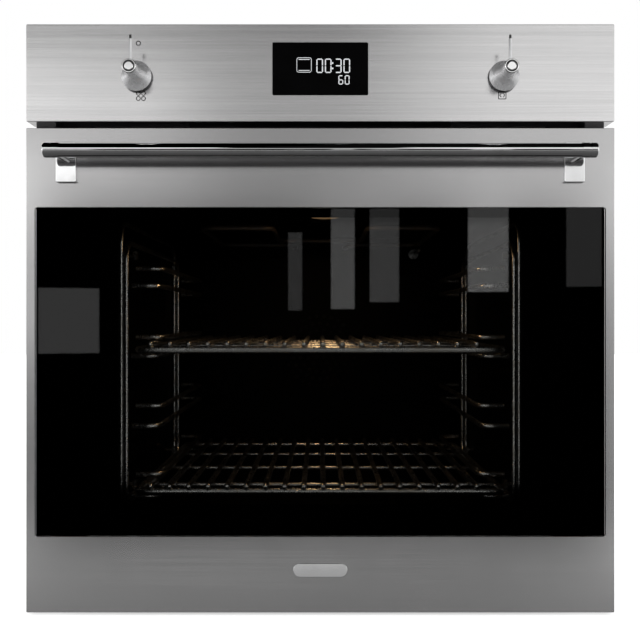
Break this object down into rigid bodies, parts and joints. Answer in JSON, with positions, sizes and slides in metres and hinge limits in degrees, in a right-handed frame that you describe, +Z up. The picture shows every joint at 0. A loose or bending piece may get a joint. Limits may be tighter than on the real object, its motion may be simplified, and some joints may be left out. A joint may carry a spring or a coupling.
{
  "type": "wall oven",
  "caption": "Built-in wall oven with a drop-down glazed door, bar handle, rotary knobs, display, wire shelves on side frames, and a ventilated casing.",
  "frame": {"origin": "on the underside of the base pan, midway across the width, in the plane of the cabinet's front face", "axes": "+Z up, +Y back into the cabinet (the door faces -Y), +X to the right as seen from the front"},
  "size_m": [0.595, 0.589, 0.598],
  "materials": {
    "brushed_steel": "satin",
    "polished_chrome": "polished",
    "shelf_chrome": "satin",
    "galvanised_steel": "matte",
    "black_enamel": "satin",
    "grey_steel": "satin",
    "tinted_glass": "gloss",
    "clear_glass": "gloss",
    "display_glass": "gloss",
    "heater_tube": "matte",
    "seal_rubber": "matte",
    "mineral_wool": "matte",
    "aluminium_sheet": "satin",
    "grey_plastic": "matte",
    "board_green": "satin",
    "cable_black": "satin",
    "lamp_glass": "gloss",
    "ceramic_white": "satin",
    "screw_zinc": "satin"
  },
  "bodies": {
    "root": {"front_frame": "grey_steel", "cavity": "black_enamel", "fan_cover": "black_enamel", "ladder_left": "shelf_chrome", "ladder_right": "shelf_chrome", "ladder_nuts": "shelf_chrome", "grill_element": "heater_tube", "bottom_element": "heater_tube", "ring_element": "heater_tube", "lamp_lens": "lamp_glass", "lamp_holder": "ceramic_white", "lamp_bulb": "lamp_glass", "temperature_probe": "shelf_chrome", "door_seal": "seal_rubber", "insulation": "mineral_wool", "base_pan": "galvanised_steel", "right_side_panel": "galvanised_steel", "left_side_panel": "galvanised_steel", "back_panel": "galvanised_steel", "top_panel": "galvanised_steel", "casing_screws": "screw_zinc", "terminal_box": "grey_plastic", "fan_motor": "galvanised_steel", "blower_housing": "galvanised_steel", "blower_motor": "galvanised_steel", "air_duct": "aluminium_sheet", "fascia_panel": "brushed_steel", "display_glass": "display_glass", "display_board": "board_green", "control_bracket": "galvanised_steel", "knob_bezels": "polished_chrome", "encoders": "grey_plastic", "power_board": "board_green", "wiring_loom": "cable_black", "hinge_arms": "galvanised_steel"},
    "door": {"door_skin": "brushed_steel", "door_outer_glass": "tinted_glass", "door_middle_glass": "clear_glass", "door_inner_glass": "clear_glass", "door_columns": "grey_steel", "door_top_rail": "grey_steel", "door_bottom_rail": "grey_steel", "handle_bar": "polished_chrome", "handle_end_caps": "polished_chrome", "handle_brackets": "polished_chrome", "door_badge": "polished_chrome", "hinge_leaves": "galvanised_steel", "hinge_pins": "screw_zinc"},
    "hinge_draw": {"hinge_rods": "screw_zinc", "hinge_springs": "screw_zinc"},
    "left_knob_turn": {"left_spindle": "screw_zinc"},
    "left_knob_press": {"left_knob": "polished_chrome", "left_lever": "polished_chrome"},
    "right_knob_turn": {"right_spindle": "screw_zinc"},
    "right_knob_press": {"right_knob": "polished_chrome", "right_lever": "polished_chrome"},
    "upper_rack": {"upper_shelf": "shelf_chrome"},
    "lower_rack": {"lower_shelf": "shelf_chrome"},
    "hot_air_fan": {"fan_impeller": "aluminium_sheet"},
    "cooling_blower": {"blower_rotor": "aluminium_sheet"}
  },
  "joints": [
    {"name": "door_hinge", "type": "hinge", "parent": "root", "child": "door", "pos_m": [0, -0.013, 0.031], "axis": [1, 0, 0], "range_deg": [0, 90], "stiffness_Nm_per_rad": 8, "springref_deg": -17.19},
    {"name": "hinge_draw_slide", "type": "slide", "parent": "root", "child": "hinge_draw", "axis": [0, -1, 0], "range_m": [0, 0.0236], "deforming": ["hinge_springs"]},
    {"name": "left_knob_turn", "type": "hinge", "parent": "root", "child": "left_knob_turn", "pos_m": [-0.185, -0.024, 0.5444], "axis": [0, 1, 0], "continuous": true},
    {"name": "left_knob_press", "type": "slide", "parent": "left_knob_turn", "child": "left_knob_press", "axis": [0, 1, 0], "range_m": [0, 0.003], "stiffness_N_per_m": 1500, "springref_m": -0.002},
    {"name": "right_knob_turn", "type": "hinge", "parent": "root", "child": "right_knob_turn", "pos_m": [0.185, -0.024, 0.5444], "axis": [0, 1, 0], "continuous": true},
    {"name": "right_knob_press", "type": "slide", "parent": "right_knob_turn", "child": "right_knob_press", "axis": [0, 1, 0], "range_m": [0, 0.003], "stiffness_N_per_m": 1500, "springref_m": -0.002},
    {"name": "upper_rack_slide", "type": "slide", "parent": "root", "child": "upper_rack", "axis": [0, -1, 0], "range_m": [-0.01, 0.04]},
    {"name": "lower_rack_slide", "type": "slide", "parent": "root", "child": "lower_rack", "axis": [0, -1, 0], "range_m": [-0.01, 0.04]},
    {"name": "hot_air_fan_spin", "type": "hinge", "parent": "root", "child": "hot_air_fan", "pos_m": [0, 0.45, 0.25], "axis": [0, 1, 0], "continuous": true},
    {"name": "cooling_blower_spin", "type": "hinge", "parent": "root", "child": "cooling_blower", "pos_m": [0, 0.4, 0.505], "axis": [1, 0, 0], "continuous": true}
  ],
  "couplings": [
    {"joint": "hinge_draw_slide", "follows": "door_hinge", "m_per_rad": 0.015}
  ]
}
